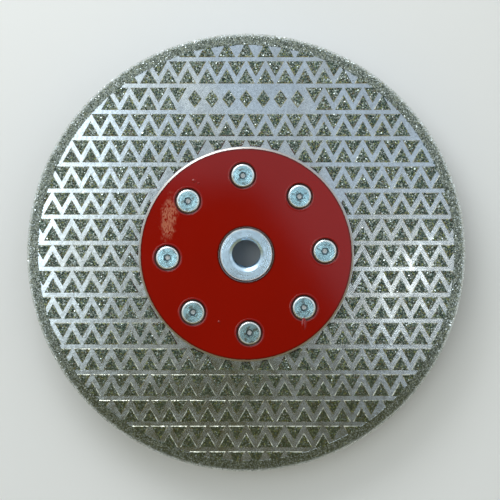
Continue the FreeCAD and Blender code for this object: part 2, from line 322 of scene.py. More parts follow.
class Shader(NodeGraph):
    """One material, over the object coordinates in metres."""

    def __init__(self, name: str) -> None:
        """Start a material with a Principled shader.

        Args:
            name: The material's name.
        """
        self.material = bpy.data.materials.new(name)
        self.material.use_nodes = True
        self.surface = self.material.node_tree.nodes["Principled BSDF"]
        super().__init__(self.material.node_tree, "Object")

    def radius(self, centre: Sequence[float] = (0.0, 0.0)) -> Signal:
        """Distance from an upright axis.

        Args:
            centre: Where the axis stands in X and Y.

        Returns:
            The distance in metres.
        """
        along, across = self.axis("X") - centre[0], self.axis("Y") - centre[1]
        return (along * along + across * across).root()

    def dust_and_shade_side(self) -> Signal:
        """Rise from 0 to 1 towards the disc's lower side, for olive dust and painted shade."""
        return self.axis("Y").step(-SIZES.dust_and_shade_start, -SIZES.dust_and_shade_full)

    def noise(self, scale: float, detail: float = 2.0, stretch: Sequence[float] = (1, 1, 1),
              roughness: float = 0.5) -> Signal:
        """Noise over the object coordinates.

        Args:
            scale: Features per metre.
            detail: Octaves.
            stretch: Factors on the coordinates, to draw the noise out.
            roughness: Weight of the finer octaves.

        Returns:
            The noise, about 0.5 on average.
        """
        vector = self.place
        if tuple(stretch) != (1, 1, 1):
            vector = self.node("ShaderNodeMapping", {}, {"Vector": self.place, "Scale": stretch})
        return self.node("ShaderNodeTexNoise", {}, {
            "Vector": vector, "Scale": scale, "Detail": detail, "Roughness": roughness})

    def rings(self, scale: float, centre: Sequence[float] = (0.0, 0.0)) -> Signal:
        """Noise that depends on the distance from an upright axis alone, as turning leaves it.

        Args:
            scale: Features per metre.
            centre: Where the axis stands in X and Y.

        Returns:
            The noise, about 0.5 on average.
        """
        return self.node("ShaderNodeTexNoise", {"noise_dimensions": "1D"},
                         {"W": self.radius(centre), "Scale": scale, "Detail": 3.0})

    def set(self, **values: Signal | float | Colour) -> None:
        """Set or link the Principled shader's sockets.

        Args:
            values: A value or signal for each socket, with _ for a space in the socket's name.
        """
        for key, value in values.items():
            socket = self.surface.inputs[key.replace("_", " ")]
            if isinstance(value, Signal):
                self.tree.links.new(value.socket, socket)
            elif isinstance(value, tuple):
                socket.default_value = (*value, 1.0)
            else:
                socket.default_value = value

    def bump(self, height: Signal, strength: float, distance: float) -> None:
        """Let a height tilt the normal.

        Args:
            height: The height signal.
            strength: Strength of the bump.
            distance: Height that a signal of 1 stands for, in metres.
        """
        normal = self.node("ShaderNodeBump", {}, {
            "Height": height, "Strength": strength, "Distance": distance})
        self.set(Normal=normal)


@dataclass(frozen=True)
class PlatedSteelFinish:
    """Nickel-plated steel of the disc: smooth lines, and the grey bond between the crystals.

    Args:
        smooth: Colour of the smooth plating.
        stained: Colour of its warmer stains.
        dirty: Colour of its specks and pits.
        bond: Colour of the bond between crystals.
        bond_hollow_shade: Darker colour in the bond's hollows, painted shade placed by noise.
        clogged_and_shaded: Olive dust and painted shade on the bond on the disc's lower side.
        worn: Colour of the bond that use has polished along the rim.
        worn_width: Width of that polished zone.
        wiped: Colour of the faint wipes along the disc.
        grained: Colour of the plating's fine grain.
    """

    smooth: Colour = (0.73, 0.82, 0.89)
    stained: Colour = (0.60, 0.59, 0.52)
    dirty: Colour = (0.19, 0.21, 0.20)
    bond: Colour = (0.30, 0.34, 0.30)
    bond_hollow_shade: Colour = (0.07, 0.085, 0.055)
    clogged_and_shaded: Colour = (0.065, 0.064, 0.018)
    worn: Colour = (0.78, 0.80, 0.79)
    worn_width: float = 1.3 * MM
    wiped: Colour = (0.42, 0.46, 0.49)
    grained: Colour = (0.33, 0.36, 0.38)

    def _grit(self, shader: Shader) -> Signal:
        """Tell the plated grit from the smooth plating.

        Args:
            shader: The material.

        Returns:
            1 on the grit, 0 on the smooth plating.
        """
        half_grit = SIZES.grit_height / 2
        margin = 0.02 * MM
        raised = shader.axis("Z") > SIZES.front - half_grit
        sunk = shader.axis("Z") < SIZES.rear + half_grit
        rim = shader.radius() > SIZES.rim_radius - SIZES.rim_width - margin
        return (raised + sunk + rim) > 0.5

    def _smooth(self, shader: Shader, stains: Signal) -> Signal:
        """Colour the smooth plating.

        Args:
            shader: The material.
            stains: Share of the warmer stains.

        Returns:
            The plating's colour, with its stains, wipes, grain and specks.
        """
        wipes = shader.noise(170, 5, (1.0, 0.2, 1.0)).step(0.42, 0.72)
        grain = shader.noise(900, 3, roughness=0.7).step(0.34, 0.70)
        specks = shader.noise(1500, 2).step(0.63, 0.72)
        return shader.layers(self.smooth, (stains * 0.40, self.stained), (wipes * 0.30, self.wiped),
                             (grain * 0.34, self.grained), (specks * 0.6, self.dirty))

    def _bond(self, shader: Shader) -> Signal:
        """Colour the bond between the crystals.

        Args:
            shader: The material.

        Returns:
            The bond's colour, with dust and painted shade on the lower side and polished along the
            rim.
        """
        # Painted shade: the bond is darker in noise-placed hollows.
        hollows = shader.noise(1700, 3).step(0.38, 0.62)
        edge = SIZES.rim_radius - self.worn_width
        polished = shader.radius().step(edge, edge + self.worn_width * 0.7)
        # Towards the disc's lower side the bond takes olive dust and painted shade.
        return shader.layers(self.bond_hollow_shade, (hollows, self.bond),
                             (shader.dust_and_shade_side() * 0.8, self.clogged_and_shaded), (polished * 0.8, self.worn))

    def build(self) -> bpy.types.Material:
        """Make the material.

        Returns:
            The finished material.
        """
        shader = Shader("plated_steel")
        grit = self._grit(shader)
        stains = shader.noise(38, 4).step(0.42, 0.66)
        smooth = self._smooth(shader, stains)
        shader.set(Base_Color=shader.mix(grit, smooth, self._bond(shader)), Metallic=1.0)
        satin = shader.noise(260, 4) * 0.15 + stains * 0.05 + 0.09
        shader.set(Roughness=satin * (1 - grit) + grit * 0.42)
        brushed = shader.noise(900, 3, (0.12, 1.0, 1.0)) * 0.15 + shader.noise(500, 3) * 0.30
        pebbles = shader.noise(1900, 3) * grit
        shader.bump(brushed * (1 - grit) + pebbles, 0.5, 0.16 * MM)
        return shader.material


@dataclass(frozen=True)
class BareNickelFinish:
    """Bright nickel without crystals, on the shoulders of the patches.

    Args:
        colour: Bright nickel.
        dull: Nickel where dust dulls it.
    """

    colour: Colour = (0.70, 0.71, 0.60)
    dull: Colour = (0.24, 0.25, 0.19)

    def build(self) -> bpy.types.Material:
        """Make the material.

        Returns:
            The finished material.
        """
        shader = Shader("bare_nickel")
        patchy = shader.noise(420, 4).step(0.38, 0.62)
        shader.set(Base_Color=shader.mix(patchy, self.colour, self.dull), Metallic=1.0)
        shader.set(Roughness=patchy * 0.15 + 0.18)
        shader.bump(shader.noise(1600, 3), 0.4, 0.08 * MM)
        return shader.material


@dataclass(frozen=True)
class CrystalFinish:
    """Diamond crystals, half sunk in the plating, each with its own tone.

    Args:
        name: The material's name.
        tones: Colours over the crystals' tone, from 0 to 1.
        dust: Olive dust and painted shade on the crystals of the disc's lower side.
        roughness: Roughness of the facets.
        refraction: Index of refraction, which sets how strongly a facet mirrors.
        coated_from: Tones between which a crystal's metal coat sets in.
    """

    name: str
    tones: tuple[tuple[float, Colour], ...]
    dust: Colour = (0.064, 0.061, 0.013)
    roughness: float = 0.16
    refraction: float = 1.55
    coated_from: tuple[float, float] = (0.78, 0.84)

    def build(self) -> bpy.types.Material:
        """Make the material.

        Returns:
            The finished material.
        """
        shader = Shader(self.name)
        tone = shader.node("ShaderNodeAttribute", {"attribute_name": "tone"}, {}, "Fac")
        ramp = {"stops": self.tones}
        colour = shader.node("ShaderNodeValToRGB", ramp, {"Fac": tone}, "Color")
        coated = tone.step(*self.coated_from)
        # Olive dust and painted shade darken the crystals towards the disc's lower side.
        dusty_and_shaded = shader.dust_and_shade_side() * (0.55 + coated * 0.2)
        colour = shader.mix(dusty_and_shaded, colour, self.dust)
        shader.set(Base_Color=colour, Metallic=coated * 0.85, IOR=self.refraction)
        shader.set(Roughness=coated * 0.18 + self.roughness)
        return shader.material


@dataclass(frozen=True)
class RedPaintFinish:
    """Gloss red paint with orange peel, one scuffed patch, a bare metal edge and painted shade in
    its recesses.

    Args:
        colour: The paint.
        recess_shade: Painted shade, in the countersinks, at the bore and along the edge.
        shaded: Slightly darker paint, in broad soft patches.
        scuff: Chalky colour of the scuffed patch.
        bare: Steel where the edge is bare.
        scuff_place: Middle of the scuffed patch.
        scuff_reach: Half its width and half its height.
        scuff_lean: How far its upper end leans to the right.
        bare_start: How far outside the slope's inner line the bare metal starts.
        bare_wander: Width over which that start wanders.
        bare_depth: How far under the plate's face the bare metal reaches.
        slope_shade_width: Width of the painted shade inside the slope.
        recess_shade_depth: How far under the plate's face the painted shade begins.
    """

    colour: Colour = (0.262, 0.0030, 0.0008)
    recess_shade: Colour = (0.060, 0.0022, 0.0012)
    shaded: Colour = (0.20, 0.0022, 0.0007)
    scuff: Colour = (0.46, 0.125, 0.050)
    bare: Colour = (0.46, 0.42, 0.39)
    scuff_place: tuple[float, float] = (-31.6 * MM, 14.5 * MM)
    scuff_reach: tuple[float, float] = (3.6 * MM, 10.5 * MM)
    scuff_lean: float = 1.3 * MM
    bare_start: float = 0.1 * MM
    bare_wander: float = 0.35 * MM
    bare_depth: float = 0.5 * MM
    slope_shade_width: float = 0.8 * MM
    recess_shade_depth: float = 0.04 * MM

    def _scuffed(self, shader: Shader) -> Signal:
        """Find the scuffed patch.

        Args:
            shader: The material.

        Returns:
            The scuff's share, in an oval with a ragged edge that leans to the right.
        """
        along = (shader.axis("Y") - self.scuff_place[1]) / self.scuff_reach[1]
        lean = along * self.scuff_lean
        across = (shader.axis("X") - self.scuff_place[0] - lean) / self.scuff_reach[0]
        distance = (along * along + across * across).root()
        ragged = distance + (shader.noise(420, 4) - 0.5) * 1.4
        speckle = shader.noise(1200, 3, (1.7, 0.6, 1.0)).step(0.36, 0.56)
        return ragged.step(1.08, 0.40) * speckle

    def _bare(self, shader: Shader) -> Signal:
        """Find the bare metal.

        Args:
            shader: The material.

        Returns:
            1 on the worn sloped edge of the front face.
        """
        edge = SIZES.plate_radius - SIZES.plate_edge + self.bare_start
        worn = shader.radius() + (shader.noise(800, 3) - 0.5) * self.bare_wander
        return (worn > edge) * (shader.axis("Z") > SIZES.plate_face - self.bare_depth)

    def _recess_shade(self, shader: Shader) -> Signal:
        """Find the painted shade.

        Args:
            shader: The material.

        Returns:
            Its share, in the countersinks, at the bore and inside the sloped edge.
        """
        inside = SIZES.plate_radius - SIZES.plate_edge
        distance = shader.radius()
        sunk = (shader.axis("Z") < SIZES.plate_face - self.recess_shade_depth) * (distance < inside)
        bore = distance < SIZES.bore_shade_radius
        return sunk + bore * 0.8 + distance.step(inside - self.slope_shade_width, inside) * 0.75

    def build(self) -> bpy.types.Material:
        """Make the material.

        Returns:
            The finished material.
        """
        shader = Shader("red_paint")
        bare, scuffed = self._bare(shader), self._scuffed(shader)
        shade = shader.noise(26, 3).step(0.35, 0.7)
        # Painted shade in the countersinks, round the bore and inside the sloped edge.
        paint = shader.layers(self.colour, (shade * 0.30, self.shaded),
                              (self._recess_shade(shader), self.recess_shade), (scuffed * 0.8, self.scuff),
                              (bare, self.bare))
        shader.set(Base_Color=paint, Metallic=bare)
        haze = shader.noise(90, 3) * 0.04 + 0.05
        shader.set(Roughness=haze + scuffed * 0.35 + bare * 0.30)
        peel = shader.noise(420, 2) * 0.5 + shader.noise(1500, 2) * scuffed
        shader.bump(peel, 0.10, 0.03 * MM)
        return shader.material


@dataclass(frozen=True)
class ZincFinish:
    """Zinc plating over turned or headed steel.

    Args:
        name: The material's name.
        colour: The plating.
        dull: Its duller, worn colour.
        speck: Dark specks and dents.
        film: Dull olive film of the tarnish.
        bright: Painted highlight on the corner.
        gap_shade: Painted shade round the edge, where the part meets the plate.
        socket_shade: Painted shade on the socket's walls.
        socket_glint: Painted highlight on the socket's floor.
        roughness: Base roughness.
        turned: Depth of the turning marks, from 0 to 1.
        centre: Axis of the turning marks in X and Y.
        mottle: How far dark specks and dents break the plating up, from 0 to 1.
        corner: Radius of the corner's painted highlight, outside of which the edge has painted
            shade.
        edge_width: Width of that painted shade at the edge.
        painted_highlight_width: Width of the painted highlight on the corner.
        tarnish: Share of the olive film, from 0 to 1.
        socket_top: Height under which the socket's walls carry painted shade.
        socket_glint_radius: Radius of the painted highlight on the socket's floor.
    """

    name: str
    colour: Colour = (0.66, 0.85, 1.0)
    dull: Colour = (0.34, 0.46, 0.57)
    speck: Colour = (0.13, 0.15, 0.16)
    film: Colour = (0.17, 0.19, 0.14)
    bright: Colour = (0.95, 0.96, 0.96)
    gap_shade: Colour = (0.050, 0.008, 0.006)
    socket_shade: Colour = (0.06, 0.075, 0.085)
    socket_glint: Colour = (0.92, 0.95, 0.95)
    roughness: float = 0.20
    turned: float = 1.0
    centre: tuple[float, float] = (0.0, 0.0)
    mottle: float = 0.2
    corner: float = 10.8 * MM
    edge_width: float = 0.5 * MM
    painted_highlight_width: float = 0.8 * MM
    tarnish: float = 0.0
    socket_top: float = -1.0
    socket_glint_radius: float = 0.9 * MM

    def build(self) -> bpy.types.Material:
        """Make the material.

        Returns:
            The finished material.
        """
        shader = Shader(self.name)
        worn = shader.noise(180, 4).step(0.42, 0.72)
        grooves = shader.rings(2600, self.centre)
        specks = shader.noise(620, 3).step(0.52, 0.66)
        distance = shader.radius(self.centre)
        on_top = distance < self.corner + self.edge_width
        # Painted shade: a dark, less metallic ring at the edge, where the gap to the plate lies.
        edge = (distance > self.corner) * on_top
        # Painted highlight: a near-white ring on the corner.
        painted_highlight = distance.step(self.corner - self.painted_highlight_width, self.corner - self.painted_highlight_width / 2)
        # Painted shade on the socket's walls below this height.
        socket = shader.axis("Z") < self.socket_top
        # Painted highlight: a near-white, less metallic dot on the socket's floor.
        socket_glint = socket * (distance < self.socket_glint_radius)
        colour = shader.layers(self.colour, (worn * 0.5, self.dull),
                               (grooves.step(0.5, 0.75) * 0.45 * self.turned, self.dull),
                               (specks * self.mottle, self.speck),
                               (specks * self.tarnish * 0.5 + self.tarnish * 0.5, self.film),
                               (painted_highlight * on_top * 0.8, self.bright), (edge * 0.95, self.gap_shade),
                               ((socket - socket_glint) * 0.8, self.socket_shade), (socket_glint, self.socket_glint))
        shader.set(Base_Color=colour, Metallic=1 - socket_glint * 0.8 - edge * 0.9)
        shader.set(Roughness=worn * 0.14 + grooves * 0.10 + self.roughness)
        dents = shader.noise(560, 3) * self.mottle
        shader.bump(grooves * self.turned + dents, 0.45, 0.09 * MM)
        return shader.material


@dataclass(frozen=True)
class FloorFinish:
    """Plain pale studio floor.

    Args:
        colour: Its colour.
        roughness: Its roughness.
    """

    colour: Colour = (0.82, 0.82, 0.81)
    roughness: float = 0.85

    def build(self) -> bpy.types.Material:
        """Make the material.

        Returns:
            The finished material.
        """
        shader = Shader("pale_floor")
        shader.set(Base_Color=self.colour, Roughness=self.roughness)
        return shader.material


def clear_selection() -> None:
    """Deselect everything, so that an operator acts only on what is new."""
    bpy.ops.object.select_all(action="DESELECT")


@contextmanager
def editing() -> Iterator[None]:
    """Work on the active object in edit mode, and come back to object mode."""
    bpy.ops.object.mode_set(mode="EDIT")
    yield
    bpy.ops.object.mode_set(mode="OBJECT")


def stand(name: str, data: bpy.types.ID) -> bpy.types.Object:
    """Stand a new object in the scene.

    Args:
        name: Its name.
        data: Its mesh, camera or lamp.

    Returns:
        The new object.
    """
    made = bpy.data.objects.new(name, data)
    bpy.context.scene.collection.objects.link(made)
    return made


def rename(piece: bpy.types.Object, name: str) -> bpy.types.Object:
    """Give an object and its mesh their name.

    Args:
        piece: The object.
        name: Its new name.

    Returns:
        The same object.
    """
    piece.name = name
    piece.data.name = name
    return piece


def settle(piece: bpy.types.Object, material: bpy.types.Material) -> bpy.types.Object:
    """Apply the object's place, dress it and let it ride on the part.

    Args:
        piece: A finished object.
        material: Its material.

    Returns:
        The same object, at the origin, unturned and unscaled.
    """
    clear_selection()
    piece.select_set(True)
    bpy.context.view_layer.objects.active = piece
    bpy.ops.object.transform_apply(location=True, rotation=True, scale=True)
    piece.data.materials.clear()
    piece.data.materials.append(material)
    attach(piece, BODY)
    triangles = sum(len(face.vertices) - 2 for face in piece.data.polygons)
    LOG.info("%s: %d triangles", piece.name, triangles)
    return piece


@dataclass(frozen=True)
class CrystalTemplate:
    """One crystal as plain arrays.

    Args:
        corners: Its corners, about 1 across.
        triangles: Numbers of the corners of each triangle.
    """

    corners: np.ndarray
    triangles: np.ndarray


@dataclass(frozen=True)
class CrystalMould:
    """Models the few crystal shapes that the grit repeats, each about 1 across.

    Args:
        octahedron_radius: From an octahedron's centre to its corners.
        cube_side: Side of a cube, and of the cube that a blocky crystal starts from.
        corner_cut: How far a blocky crystal's corners are cut back along its edges.
    """

    octahedron_radius: float = 0.62
    cube_side: float = 0.86
    corner_cut: float = 0.24

    def _primitive(self, shape: CrystalShape) -> None:
        """Add the starting form of a crystal and shape it in edit mode.

        Args:
            shape: The crystal's habit.
        """
        clear_selection()
        if shape is CrystalShape.OCTAHEDRON:
            bpy.ops.mesh.primitive_uv_sphere_add(segments=4, ring_count=2,
                                                 radius=self.octahedron_radius)
            return
        bpy.ops.mesh.primitive_cube_add(size=self.cube_side)
        if shape is CrystalShape.BLOCKY:
            with editing():
                bpy.ops.mesh.select_all(action="SELECT")
                bpy.ops.mesh.bevel(offset=self.corner_cut, affect="VERTICES")

    def template(self, shape: CrystalShape) -> CrystalTemplate:
        """Model one crystal and read it as arrays.

        Args:
            shape: The crystal's habit.

        Returns:
            Its corners and triangles.
        """
        self._primitive(shape)
        model = bpy.context.object
        mesh = model.data
        mesh.calc_loop_triangles()
        corners = np.array([tuple(vertex.co) for vertex in mesh.vertices])
        triangles = np.array([tuple(face.vertices) for face in mesh.loop_triangles])
        bpy.data.objects.remove(model)
        bpy.data.meshes.remove(mesh)
        return CrystalTemplate(corners, triangles)


@dataclass
class GritLayer:
    """The diamond crystals on the disc: where they sit, and the meshes that hold them.

    Args:
        spacing: Distance between crystals in the fields.
        crystal: Mean size of a crystal in the fields.
        rim_spacing: Distance between crystals along the rim.
        rim_crystal: Mean size of a crystal on the rim.
        depth: Share of a crystal's size that its centre lies under the plating's face.
        overhang: How far a crystal's centre may lie outside its patch, on the shoulder.
        rear_gap: How much deeper the crystals of the rear ring sit.
        jitter: How far a crystal strays from its place in the grid, as a share of the spacing.
        spread: Smallest and largest size of a crystal, as shares of the mean.
        uneven: Lowest and highest step of a crystal against its neighbours, in millimetres.
        polish: How much lighter use has made the crystals along the rim.
        polish_width: Width of the zone in which they are lighter.
        clogging_and_shade: How much darker dust and painted shade make the crystals at the disc's
            foot.
        clogging_and_shade_width: Distance over which they darken.
        worn_back: How far inside the rim's radius grinding has worn the crystals.
        seed: Seed of every random draw.
        field_finish: Crystals of the fields.
        rim_finish: Crystals of the two rings and of the edge.
    """

    spacing: float = 0.60 * MM
    crystal: float = 0.52 * MM
    rim_spacing: float = 0.56 * MM
    rim_crystal: float = 0.46 * MM
    depth: float = 0.10
    overhang: float = 0.10 * MM
    rear_gap: float = 0.1 * MM
    jitter: float = 0.33
    spread: tuple[float, float] = (0.78, 1.22)
    uneven: tuple[float, float] = (-0.05, 0.03)
    polish: float = 0.5
    polish_width: float = 1.8 * MM
    clogging_and_shade: float = 0.14
    clogging_and_shade_width: float = 60 * MM
    worn_back: float = 0.03 * MM
    seed: int = 7
    field_finish: CrystalFinish = CrystalFinish("field_crystals", (
        (0.00, (0.006, 0.018, 0.016)),
        (0.34, (0.022, 0.062, 0.055)),
        (0.54, (0.10, 0.17, 0.13)),
        (0.62, (0.32, 0.36, 0.12)),
        (0.72, (0.10, 0.055, 0.030)),
        (0.80, (0.42, 0.50, 0.48)),
        (1.00, (0.80, 0.88, 0.88)),
    ))
    rim_finish: CrystalFinish = CrystalFinish("rim_crystals", (
        (0.00, (0.036, 0.045, 0.041)),
        (0.30, (0.150, 0.182, 0.170)),
        (0.55, (0.34, 0.39, 0.36)),
        (0.70, (0.34, 0.36, 0.25)),
        (0.82, (0.50, 0.57, 0.58)),
        (1.00, (0.84, 0.90, 0.91)),
    ))

    def __post_init__(self) -> None:
        """Model the crystal shapes and start the random draws."""
        mould = CrystalMould()
        self.templates = [mould.template(shape) for shape in CrystalShape]
        self.shares = [shape.value for shape in CrystalShape]
        self.random = np.random.default_rng(self.seed)

    def _scatter(self, spacing: float, reach: float) -> np.ndarray:
        """Points of a jittered triangular grid over a square round the axis.

        Args:
            spacing: Distance between neighbours.
            reach: Half the square's side.

        Returns:
            X and Y of every point.
        """
        row_step = spacing * math.sqrt(3) / 2
        rows = np.arange(-reach, reach, row_step)
        columns = np.arange(-reach, reach, spacing)
        x, y = np.meshgrid(columns, rows)
        x = x + (np.arange(len(rows)) % 2)[:, None] * spacing / 2
        points = np.stack([x.ravel(), y.ravel()], axis=1)
        return points + self.random.uniform(-self.jitter, self.jitter, points.shape) * spacing

    def _in_fields(self, points: np.ndarray) -> np.ndarray:
        """Stand crystals on the raised patches and on the upper part of their shoulders.

        Args:
            points: X and Y of every point.

        Returns:
            X, Y and Z of the crystals' centres on and beside the patches.
        """
        disc = BVHTree.FromObject(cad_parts["diamond_disc"],
                                  bpy.context.evaluated_depsgraph_get())
        reach = self.overhang
        around = [(reach, 0), (-reach, 0), (0, reach), (0, -reach)]
        sunk = self.crystal * self.depth
        kept = []
        for x, y in points:
            if self._hits_grit(disc, x, y):
                kept.append((x, y, SIZES.front - sunk))
            elif any(self._hits_grit(disc, x + dx, y + dy) for dx, dy in around):
                kept.append((x, y, SIZES.front - sunk - reach))
        return np.array(kept)

    @staticmethod
    def _hits_grit(disc: BVHTree, x: float, y: float) -> bool:
        """Look down on the disc from above.

        Args:
            disc: The disc's faces.
            x: Place along the picture's width.
            y: Place along its height.

        Returns:
            True where the disc's highest surface is the grit's face.
        """
        above = Vector((x, y, SIZES.plate_face + SIZES.grit_height))
        place = disc.ray_cast(above, Vector((0, 0, -1)))[0]
        return place is not None and place.z > SIZES.front - SIZES.grit_height / 2

    def _turns(self, count: int) -> np.ndarray:
        """Draw random turns, evenly spread.

        Args:
            count: Number of turns.

        Returns:
            A rotation matrix for each turn.
        """
        quaternions = self.random.normal(size=(count, 4))
        quaternions /= np.linalg.norm(quaternions, axis=1)[:, None]
        w, x, y, z = quaternions.T
        return np.stack([
            1 - 2 * (y * y + z * z), 2 * (x * y - w * z), 2 * (x * z + w * y),
            2 * (x * y + w * z), 1 - 2 * (x * x + z * z), 2 * (y * z - w * x),
            2 * (x * z - w * y), 2 * (y * z + w * x), 1 - 2 * (x * x + y * y),
        ], axis=1).reshape(count, 3, 3)

    def _polished(self, places: np.ndarray) -> np.ndarray:
        """Lighten the crystals near the rim, where use has polished them.

        Args:
            places: Centres of the crystals.

        Returns:
            What each crystal's tone gains.
        """
        distance = np.hypot(places[:, 0], places[:, 1])
        inside = distance - SIZES.rim_radius + self.polish_width
        return self.polish * np.clip(inside / MM, 0, 1)

    def _clogged_and_shaded(self, places: np.ndarray) -> np.ndarray:
        """Darken the crystals on the disc's lower side, for dust and painted shade.

        Args:
            places: Centres of the crystals.

        Returns:
            What each crystal's tone loses.
        """
        under = -places[:, 1] - SIZES.dust_and_shade_start
        return self.clogging_and_shade * np.clip(under / self.clogging_and_shade_width, 0, 1)

    def _worn(self, corners: np.ndarray) -> np.ndarray:
        """Bring corners that stand out past the rim back to it, as grinding wears them.

        Args:
            corners: Corners of all crystals.

        Returns:
            The same corners, none past the worn rim.
        """
        distance = np.hypot(corners[:, 0], corners[:, 1])
        limit = SIZES.rim_radius - self.worn_back
        factor = np.where(distance > limit, limit / distance, 1.0)
        return corners * np.column_stack([factor, factor, np.ones(len(factor))])

    def _mesh(self, name: str, places: np.ndarray, size: float) -> bpy.types.Object:
        """Stand a crystal on every place, all in one mesh.

        Args:
            name: Name of the piece.
            places: Centres of the crystals.
            size: Mean size of a crystal.

        Returns:
            The new object, with each crystal's tone as an attribute.
        """
        kinds = self.random.choice(len(self.templates), len(places), p=self.shares)
        all_corners, all_triangles, all_tones = [], [], []
        offset = 0
        for kind, template in enumerate(self.templates):
            chosen = places[kinds == kind]
            count = len(chosen)
            scales = size * self.random.uniform(*self.spread, (count, 1, 3))
            corners = (template.corners[None] * scales) @ self._turns(count)
            corners += chosen[:, None, :]
            per_crystal = len(template.corners)
            starts = offset + np.arange(count)[:, None, None] * per_crystal
            all_corners.append(corners.reshape(-1, 3))
            all_triangles.append((template.triangles[None] + starts).reshape(-1, 3))
            tones = self.random.uniform(0, 1, count)
            # Tones lighten near the rim from wear and darken towards the foot from dust and painted
            # shade.
            tones = tones + self._polished(chosen) - self._clogged_and_shaded(chosen)
            all_tones.append(np.repeat(np.clip(tones, 0, 1), per_crystal))
            offset += count * per_crystal
        mesh = bpy.data.meshes.new(name)
        corners = self._worn(np.concatenate(all_corners))
        mesh.from_pydata(corners, [], np.concatenate(all_triangles))
        tone = mesh.attributes.new("tone", "FLOAT", "POINT")
        tone.data.foreach_set("value", np.concatenate(all_tones))
        return stand(name, mesh)

    def _add(self, name: str, places: np.ndarray, size: float,
             material: bpy.types.Material) -> None:
        """Make one piece of grit and let it ride on the part."""
        settle(self._mesh(name, places, size), material)

    def _uneven(self, places: np.ndarray) -> np.ndarray:
        """Let the crystals stand out a little more or less."""
        return places + [0, 0, 1] * self.random.uniform(*self.uneven, (len(places), 1)) * MM

    def _lift(self, points: np.ndarray, height: float) -> np.ndarray:
        """Add a height to flat points."""
        return self._uneven(np.column_stack([points, np.full(len(points), height)]))

    def _edge_places(self) -> np.ndarray:
        """Stand crystals on the cylindrical edge of the rim.

        Returns:
            X, Y and Z of their centres.
        """
        spacing, half_bevel = self.rim_spacing, SIZES.rim_bevel * 0.5
        around, upright = 0.4, 0.2
        levels = np.arange(SIZES.rear + half_bevel, SIZES.front - half_bevel, spacing * 0.85)
        radius = SIZES.rim_radius - self.rim_crystal * 0.62
        count = int(2 * math.pi * radius / spacing)
        angles = np.arange(count) / count * 2 * math.pi
        angle, level = np.meshgrid(angles, levels)
        angle = angle + self.random.uniform(-around, around, angle.shape) * spacing / radius
        level = level + self.random.uniform(-upright, upright, level.shape) * spacing
        return np.stack([radius * np.cos(angle), radius * np.sin(angle), level],
                        axis=-1).reshape(-1, 3)

    def build(self) -> None:
        """Plate the fields, the ring along the rim, its edge and its rear face."""
        field_edge = SIZES.rim_radius - SIZES.rim_width
        rim_edge = SIZES.rim_radius - SIZES.rim_bevel
        points = self._scatter(self.spacing, field_edge)
        points = self._in_fields(points[np.hypot(*points.T) < field_edge])
        field_material, rim_material = self.field_finish.build(), self.rim_finish.build()
        right, top = points[:, 0] >= 0, points[:, 1] >= 0
        for name, quarter in (("grit_upper_right_fields", top & right),
                              ("grit_upper_left_fields", top & ~right),
                              ("grit_lower_left_fields", ~top & ~right),
                              ("grit_lower_right_fields", ~top & right)):
            self._add(name, self._uneven(points[quarter]), self.crystal, field_material)
        ring = self._scatter(self.rim_spacing, SIZES.rim_radius)
        distance = np.hypot(*ring.T)
        ring = ring[(distance > field_edge) & (distance < rim_edge)]
        size = self.rim_crystal
        front, rear = SIZES.front - size * self.depth, SIZES.rear + size * self.depth + self.rear_gap
        self._add("grit_front_ring", self._lift(ring, front), size, rim_material)
        self._add("grit_rear_ring", self._lift(ring, rear), size, rim_material)
        self._add("grit_edge", self._edge_places(), size, rim_material)


